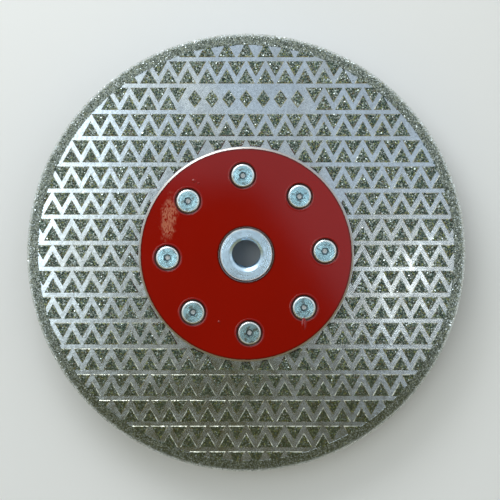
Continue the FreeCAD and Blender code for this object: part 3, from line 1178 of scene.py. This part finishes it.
@dataclass
class PlatedShoulders:
    """Sloped shoulders of bare nickel that the plating builds up round every patch of grit.

    Args:
        width: How far a shoulder reaches out on the steel.
        below_grit: How far its top lies under the grit's face, hidden in the patch.
        block: Height of the block under a patch that the shoulder is drawn from.
        close: How far a corner may lie off the patches' face or past the rim's ring.
        flat_angle: Bend under which two faces of a patch's top are one, in degrees.
        finish: The bare nickel.
    """

    width: float = 0.34 * MM
    below_grit: float = 0.12 * MM
    block: float = 0.05 * MM
    close: float = 0.01 * MM
    flat_angle: float = 0.5
    finish: BareNickelFinish = BareNickelFinish()

    def _copy_disc(self) -> bpy.types.Object:
        """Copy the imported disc, to cut the patches' faces out of the copy.

        Returns:
            The copy, selected and active.
        """
        clear_selection()
        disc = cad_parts["diamond_disc"]
        disc.select_set(True)
        bpy.context.view_layer.objects.active = disc
        bpy.ops.object.duplicate()
        copy = rename(bpy.context.object, "plated_shoulders")
        copy.parent = None
        copy.matrix_world = disc.matrix_world
        return copy

    def _keep_patch_faces(self, copy: bpy.types.Object) -> None:
        """Delete everything but the flat faces on top of the patches.

        Args:
            copy: The disc's copy.
        """
        with editing():
            bpy.ops.mesh.select_mode(type="VERT")
            bpy.ops.mesh.select_all(action="SELECT")
            bpy.ops.mesh.remove_doubles(threshold=WELD_DISTANCE)
            bpy.ops.mesh.select_all(action="DESELECT")
            bpy.ops.mesh.select_mode(type="FACE")
        lowest = SIZES.front - self.close
        farthest = SIZES.rim_radius - SIZES.rim_width + self.close
        for face in copy.data.polygons:
            corners = [copy.data.vertices[i].co for i in face.vertices]
            face.select = not all(corner.z > lowest and corner.xy.length < farthest
                                  for corner in corners)
        with editing():
            bpy.ops.mesh.delete(type="FACE")
            bpy.ops.mesh.select_all(action="SELECT")
            bpy.ops.mesh.dissolve_limited(angle_limit=math.radians(self.flat_angle))

    def _level_blocks(self, copy: bpy.types.Object) -> None:
        """Bring the widened blocks' corners back to two levels and select their tops.

        Args:
            copy: The blocks.
        """
        steel = SIZES.front - SIZES.grit_height
        middle = SIZES.front - self.block / 2
        for vertex in copy.data.vertices:
            vertex.co.z = steel if vertex.co.z > middle else steel - self.block
        for face in copy.data.polygons:
            lowest = min(copy.data.vertices[i].co.z for i in face.vertices)
            face.select = lowest > steel - self.block / 2

    def build(self) -> None:
        """Widen a block under every patch, then draw its top in and up to the grit."""
        copy = self._copy_disc()
        self._keep_patch_faces(copy)
        with editing():
            bpy.ops.mesh.select_all(action="SELECT")
            bpy.ops.mesh.extrude_region_move(TRANSFORM_OT_translate={"value": (0, 0, -self.block)})
            bpy.ops.mesh.select_all(action="SELECT")
            bpy.ops.mesh.normals_make_consistent(inside=False)
            bpy.ops.transform.shrink_fatten(value=self.width, use_even_offset=True)
            bpy.ops.mesh.select_all(action="DESELECT")
            bpy.ops.mesh.select_mode(type="FACE")
        self._level_blocks(copy)
        rise = SIZES.grit_height - self.below_grit
        with editing():
            bpy.ops.mesh.inset(thickness=self.width, depth=rise, use_even_offset=True)
            bpy.ops.mesh.select_mode(type="VERT")
        settle(copy, self.finish.build())


@dataclass
class SpindleThread:
    """The M14 thread in the flange's bore, as a ridge on the bore's wall.

    Args:
        pitch: Rise in one turn.
        depth: Height of the ridge above the wall.
        crest: Flat width of the crest.
        root_share: Half the root's width, as a share of the pitch.
        overlap: How far the ridge's root lies inside the wall.
        steps: Segments in one turn.
        mouth_over: How far the cutter of a mouth stands out past the flange's face.
        mouth_sides: Sides of that round cutter.
    """

    pitch: float = SIZES.thread_pitch
    depth: float = 1.08 * MM
    crest: float = 0.25 * MM
    root_share: float = 0.44
    overlap: float = 0.04 * MM
    steps: int = 56
    mouth_over: float = 1.0 * MM
    mouth_sides: int = 96

    def _profile(self, middle: float) -> bpy.types.Object:
        """Add the ridge's section in the XZ plane, as one flat face.

        Args:
            middle: Height of the section's middle.

        Returns:
            The section. A new plane's corners come in two rows: here the root, then the crest.
        """
        wall = SIZES.thread_diameter / 2
        rows = ((wall + self.overlap, self.pitch * self.root_share),
                (wall - self.depth, self.crest / 2))
        corners = [(out, 0, middle + side * half) for out, half in rows for side in (-1, 1)]
        clear_selection()
        bpy.ops.mesh.primitive_plane_add(size=1)
        for vertex, corner in zip(bpy.context.object.data.vertices, corners):
            vertex.co = corner
        return rename(bpy.context.object, "spindle_thread")

    def _mouth_cutter(self, face: float, inward: int) -> bpy.types.Object:
        """A cone, as tall as its radius, that opens the thread's mouth.

        Args:
            face: Height of the flange's face at this mouth.
            inward: 1 where the thread lies above the face, -1 where it lies below.

        Returns:
            The cutting object.
        """
        wide, over = SIZES.thread_diameter / 2 + SIZES.thread_chamfer, self.mouth_over
        reach = wide + over
        low_radius, high_radius = (reach, 0.0) if inward > 0 else (0.0, reach)
        clear_selection()
        bpy.ops.mesh.primitive_cone_add(
            vertices=self.mouth_sides, radius1=low_radius, radius2=high_radius, depth=reach,
            location=(0, 0, face + inward * (wide - over) / 2))
        return bpy.context.object

    def build(self, material: bpy.types.Material) -> None:
        """Wind the ridge up the bore and cut it back at both mouths.

        Args:
            material: The flange's turned zinc.
        """
        low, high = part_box("threaded_flange")[0].z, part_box("threaded_flange")[1].z
        turns = (high - low - self.pitch) / self.pitch
        ridge = self._profile(low + self.pitch * 0.5)
        wind = ridge.modifiers.new("wind", "SCREW")
        wind.axis = "Z"
        wind.angle = 2 * math.pi * turns
        wind.screw_offset = self.pitch * turns
        wind.steps = int(self.steps * turns)
        wind.render_steps = wind.steps
        wind.use_smooth_shade = False
        bpy.ops.object.modifier_apply(modifier="wind")
        self._close_ends(ridge)
        for cutter in (self._mouth_cutter(low, 1), self._mouth_cutter(high, -1)):
            self._cut(ridge, cutter)
        settle(ridge, material)

    @staticmethod
    def _close_ends(ridge: bpy.types.Object) -> None:
        """Cap the ridge's two ends and turn its faces outward.

        Args:
            ridge: The wound ridge.
        """
        bpy.context.view_layer.objects.active = ridge
        with editing():
            bpy.ops.mesh.select_mode(type="EDGE")
            bpy.ops.mesh.select_all(action="DESELECT")
            bpy.ops.mesh.select_non_manifold()
            bpy.ops.mesh.edge_face_add()
            bpy.ops.mesh.select_all(action="SELECT")
            bpy.ops.mesh.remove_doubles(threshold=WELD_DISTANCE)
            bpy.ops.mesh.normals_make_consistent(inside=False)
            bpy.ops.mesh.select_mode(type="VERT")

    @staticmethod
    def _cut(piece: bpy.types.Object, cutter: bpy.types.Object) -> None:
        """Take a cutter's form away from a piece.

        Args:
            piece: What is cut.
            cutter: The form to take away, which goes with the cut.
        """
        cut = piece.modifiers.new("cut", "BOOLEAN")
        cut.operation = "DIFFERENCE"
        cut.object = cutter
        cut.solver = "EXACT"
        bpy.context.view_layer.objects.active = piece
        bpy.ops.object.modifier_apply(modifier="cut")
        bpy.data.objects.remove(cutter)


@dataclass
class PaintWork:
    """Paint that stands proud of the plate: beads round the countersinks, nibs and a run.

    Args:
        bead_width: Width of the bead's section.
        bead_height: How far a bead stands above the plate.
        nibs: X and Y of each nib on the plate and half its width, in millimetres.
        nib_share: A nib's length as a share of its width.
        nib_rise: How far a nib stands above the plate.
        run_place: Middle of the run in the paint.
        run_reach: Half its width and half its length.
        run_rise: How far it stands above the plate.
    """

    bead_width: float = 0.62 * MM
    bead_height: float = 0.05 * MM
    nibs: tuple[tuple[float, float, float], ...] = ((-21.3, 30.2, 0.95), (-11.2, -27.4, 0.6),
                                                    (-19.4, 29.2, 0.5))
    nib_share: float = 0.8
    nib_rise: float = 0.30 * MM
    run_place: tuple[float, float] = (23.6 * MM, -28.4 * MM)
    run_reach: tuple[float, float] = (1.1 * MM, 2.5 * MM)
    run_rise: float = 0.24 * MM

    def _bead(self, number: int, place: Vector, material: bpy.types.Material) -> None:
        """Lay one raised ring of paint round a countersink.

        Args:
            number: The screw's number.
            place: The screw's centre on the plate's face.
            material: The red paint.
        """
        clear_selection()
        middle = SIZES.countersink / 2 + self.bead_width * 0.5
        bpy.ops.mesh.primitive_torus_add(
            location=place, major_radius=middle, minor_radius=self.bead_width / 2,
            major_segments=64, minor_segments=10)
        bead = rename(bpy.context.object, f"paint_bead_{number}")
        bead.scale.z = self.bead_height * 2 / self.bead_width
        bpy.ops.object.shade_smooth()
        settle(bead, material)

    def _drop(self, name: str, place: tuple[float, float], reach: tuple[float, float],
              rise: float, material: bpy.types.Material) -> None:
        """One smooth drop of paint, flattened onto the plate.

        Args:
            name: Name of the piece.
            place: Its middle.
            reach: Half its width and half its length.
            rise: How far it stands above the plate.
            material: The red paint.
        """
        clear_selection()
        bpy.ops.mesh.primitive_uv_sphere_add(
            segments=24, ring_count=12, radius=1.0, location=(*place, SIZES.plate_face))
        drop = rename(bpy.context.object, name)
        drop.scale = (*reach, rise)
        bpy.ops.object.shade_smooth()
        settle(drop, material)

    def build(self, material: bpy.types.Material) -> None:
        """Add every bead, nib and run.

        Args:
            material: The red paint.
        """
        for number, place in enumerate(SIZES.screw_places(), start=1):
            self._bead(number, place, material)
        for number, (x, y, size) in enumerate(self.nibs, start=1):
            reach = (size * MM, size * self.nib_share * MM)
            self._drop(f"paint_nib_{number}", (x * MM, y * MM), reach, self.nib_rise, material)
        self._drop("paint_run", self.run_place, self.run_reach, self.run_rise, material)


@dataclass
class DiamondDisc:
    """The disc, its flange, plate and screws: every node gets its finish here.

    Args:
        steel: Plated steel and bond of the disc.
        paint: Red paint of the plate.
        flange_zinc: Plating of the flange.
        screw_zinc: Plating of the screws.
        tarnish: How dull each screw is, from the right-hand one anticlockwise.
        unshaded_depth: How far down a socket's walls are free of painted shade.
    """

    steel: PlatedSteelFinish = PlatedSteelFinish()
    paint: RedPaintFinish = RedPaintFinish()
    flange_zinc: ZincFinish = ZincFinish("turned_zinc")
    screw_zinc: ZincFinish = ZincFinish("headed_zinc", colour=(0.55, 0.88, 1.0),
                                        dull=(0.22, 0.40, 0.50), roughness=0.14,
                                        turned=1.0, mottle=0.65, corner=4.55 * MM)
    tarnish: tuple[float, ...] = (0.0, 0.0, 0.2, 0.45, 0.0, 0.55, 0.85, 0.15)
    unshaded_depth: float = 0.3 * MM

    @staticmethod
    def _dress(node: str, material: bpy.types.Material) -> None:
        """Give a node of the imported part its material.

        Args:
            node: The node's name.
            material: Its material.
        """
        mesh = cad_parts[node].data
        mesh.materials.clear()
        mesh.materials.append(material)
        LOG.info("%s: dressed with %s", node, material.name)

    def build(self) -> None:
        """Dress the nodes and add the grit, the thread and the paint work."""
        self._dress("diamond_disc", self.steel.build())
        paint = self.paint.build()
        self._dress("front_plate", paint)
        turned = self.flange_zinc.build()
        self._dress("threaded_flange", turned)
        screws = zip(SIZES.screw_places(), self.tarnish)
        for number, (place, tarnish) in enumerate(screws, start=1):
            socket_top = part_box(f"screw_{number}")[1].z - self.unshaded_depth
            finish = replace(self.screw_zinc, name=f"headed_zinc_{number}", tarnish=tarnish,
                             centre=tuple(place.xy), socket_top=socket_top)
            self._dress(f"screw_{number}", finish.build())
        SpindleThread().build(turned)
        PaintWork().build(paint)
        PlatedShoulders().build()
        GritLayer().build()


@dataclass
class PhotoCamera:
    """The camera, almost straight above the disc, with the disc's upper edge a little nearer.

    Args:
        distance: From the lens to the middle of the disc.
        tilt: Lean of the view, in degrees.
        picture: Side of the picture in pixels.
        disc_centre: Where the disc's centre lies in the picture.
        rim_radius: The rim's radius in the picture.
        sensor: Width of the camera's sensor in millimetres.
    """

    distance: float = 0.50
    tilt: float = 2.6
    picture: float = 500.0
    disc_centre: tuple[float, float] = (246.2, 254.2)
    rim_radius: float = 218.7
    sensor: float = 36.0

    def build(self) -> None:
        """Place the camera and make it the scene's own."""
        lean = math.radians(self.tilt)
        middle = Vector((0, 0, (SIZES.front + SIZES.rear) / 2))
        right = Vector((1, 0, 0))
        up = Vector((0, math.cos(lean), -math.sin(lean)))
        back = right.cross(up)
        scale = SIZES.rim_radius / self.rim_radius
        aside = (self.picture / 2 - self.disc_centre[0]) * scale
        above = (self.disc_centre[1] - self.picture / 2) * scale
        data = bpy.data.cameras.new("photo_camera")
        data.sensor_width = self.sensor
        data.lens = self.sensor * self.distance / (self.picture * scale)
        camera = stand("photo_camera", data)
        camera.location = middle + back * self.distance + right * aside + up * above
        camera.rotation_euler = Matrix((right, up, back)).transposed().to_euler()
        bpy.context.scene.camera = camera


@dataclass(frozen=True)
class SoftLamp:
    """A soft rectangular lamp that points at the disc.

    Args:
        name: The lamp's name.
        place: Where it hangs.
        sides: Its width and height.
        power: Its power in watts.
        colour: Its colour.
    """

    name: str
    place: tuple[float, float, float]
    sides: tuple[float, float]
    power: float
    colour: Colour

    def build(self) -> None:
        """Hang the lamp."""
        data = bpy.data.lights.new(self.name, "AREA")
        data.shape = "RECTANGLE"
        data.size, data.size_y = self.sides
        data.energy = self.power
        data.color = self.colour
        lamp = stand(self.name, data)
        lamp.location = self.place
        lamp.rotation_euler = Vector(self.place).to_track_quat("Z", "Y").to_euler()


@dataclass(frozen=True)
class StudioSky:
    """Cool pale light from the picture's head, dim warm light from its foot, and what gloss mirrors.

    Directions near the zenith are read as the slopes X/Z and Y/Z. A pair of numbers is where a
    part of the sky starts and where it is in full.

    Args:
        cool: Light from the picture's upper side.
        warm: Light from its lower side.
        ceiling: Dark ceiling over the disc.
        window: Soft window to the upper right of the ceiling.
        key: Bright panel to the left.
        horizon: Plain pale band past the floor's edge.
        cool_side: Y of the directions of the cool light.
        flattest: Rise under which the slopes grow no further.
        ceiling_drop: Slope by which the ceiling's middle lies under the zenith.
        ceiling_reach: Slopes of the ceiling, from its middle.
        window_lean: Factors on the two slopes, for the window's leaning lower edge.
        window_edge: Where the window starts on the side of that edge.
        window_foot: Where it starts along the picture's head.
        key_right: Slopes of the panel's right side.
        key_left: Slopes of its left side.
        key_foot: Slopes of its lower side.
        key_head: Slopes of its upper side.
        key_lowest: Rise under which the panel ends.
        horizon_rise: Rise of the pale band.
    """

    cool: Colour = (0.82, 0.88, 0.92)
    warm: Colour = (0.37, 0.335, 0.19)
    ceiling: Colour = (0.088, 0.074, 0.024)
    window: Colour = (0.52, 0.58, 0.64)
    key: Colour = (2.4, 2.58, 2.62)
    horizon: Colour = (0.70, 0.71, 0.70)
    cool_side: tuple[float, float] = (-0.35, 0.3)
    flattest: float = 0.05
    ceiling_drop: float = 0.36
    ceiling_reach: tuple[float, float] = (1.0, 0.55)
    window_lean: tuple[float, float] = (0.82, 0.57)
    window_edge: tuple[float, float] = (-0.002, 0.024)
    window_foot: tuple[float, float] = (-0.002, 0.022)
    key_right: tuple[float, float] = (-0.105, -0.16)
    key_left: tuple[float, float] = (-0.75, -0.5)
    key_foot: tuple[float, float] = (-0.20, -0.02)
    key_head: tuple[float, float] = (0.55, 0.30)
    key_lowest: float = 0.2
    horizon_rise: tuple[float, float] = (0.22, 0.17)

    def _key_panel(self, right: Signal, up: Signal, rise: Signal) -> Signal:
        """Find the bright panel.

        Args:
            right: Slope X/Z of a direction.
            up: Its slope Y/Z.
            rise: Its Z.

        Returns:
            The panel's share in that direction.
        """
        across = right.step(*self.key_right) * right.step(*self.key_left)
        upright = up.step(*self.key_foot) * up.step(*self.key_head)
        return across * upright * (rise > self.key_lowest)

    def build(self) -> None:
        """Make the world."""
        world = bpy.data.worlds.new("studio_sky")
        bpy.context.scene.world = world
        world.use_nodes = True
        graph = NodeGraph(world.node_tree, "Generated")
        rise = graph.axis("Z")
        above = graph.node("ShaderNodeMath", {"operation": "MAXIMUM"}, {0: rise, 1: self.flattest})
        right, up = graph.axis("X") / above, graph.axis("Y") / above
        lower = up + self.ceiling_drop
        overhead = (right * right + lower * lower).root().step(*self.ceiling_reach)
        leaning = right * self.window_lean[0] + up * self.window_lean[1]
        window = 1 - (1 - leaning.step(*self.window_edge)) * (1 - up.step(*self.window_foot))
        ceiling = graph.mix(window, self.ceiling, self.window)
        colour = graph.layers(self.warm, (graph.axis("Y").step(*self.cool_side), self.cool),
                              (overhead, ceiling), (self._key_panel(right, up, rise), self.key),
                              (rise.step(*self.horizon_rise), self.horizon))
        background = world.node_tree.nodes["Background"]
        world.node_tree.links.new(colour.socket, background.inputs["Color"])


@dataclass
class Studio:
    """Pale floor, soft lamps and a sky that is dimmer and warmer at the picture's foot.

    Args:
        floor_side: Side of the floor.
        sky: The sky.
        lamps: The lamps.
    """

    floor_side: float = 8.0
    sky: StudioSky = StudioSky()
    lamps: tuple[SoftLamp, ...] = (
        SoftLamp("key", (-0.20, 0.42, 0.36), (0.36, 0.26), 1.35, (0.96, 1.0, 1.03)),
        SoftLamp("warm_strip", (0.188, -0.077, 0.96), (0.09, 0.030), 0.040, (1.0, 0.96, 0.84)),
    )

    def _floor(self) -> None:
        """Lay the floor under the hub."""
        clear_selection()
        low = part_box("threaded_flange")[0].z
        bpy.ops.mesh.primitive_plane_add(size=self.floor_side, location=(0, 0, low))
        floor = rename(bpy.context.object, "floor")
        floor.data.materials.append(FloorFinish().build())

    def build(self) -> None:
        """Set up floor, sky and lamps."""
        self._floor()
        self.sky.build()
        for lamp in self.lamps:
            lamp.build()
        bpy.context.scene.view_settings.view_transform = "Standard"


def main() -> None:
    """Build the camera, the disc and the studio, in that order."""
    logging.basicConfig(level=logging.INFO, format="%(name)s: %(message)s")
    PhotoCamera().build()
    DiamondDisc().build()
    Studio().build()


if __name__ == "__main__":
    main()
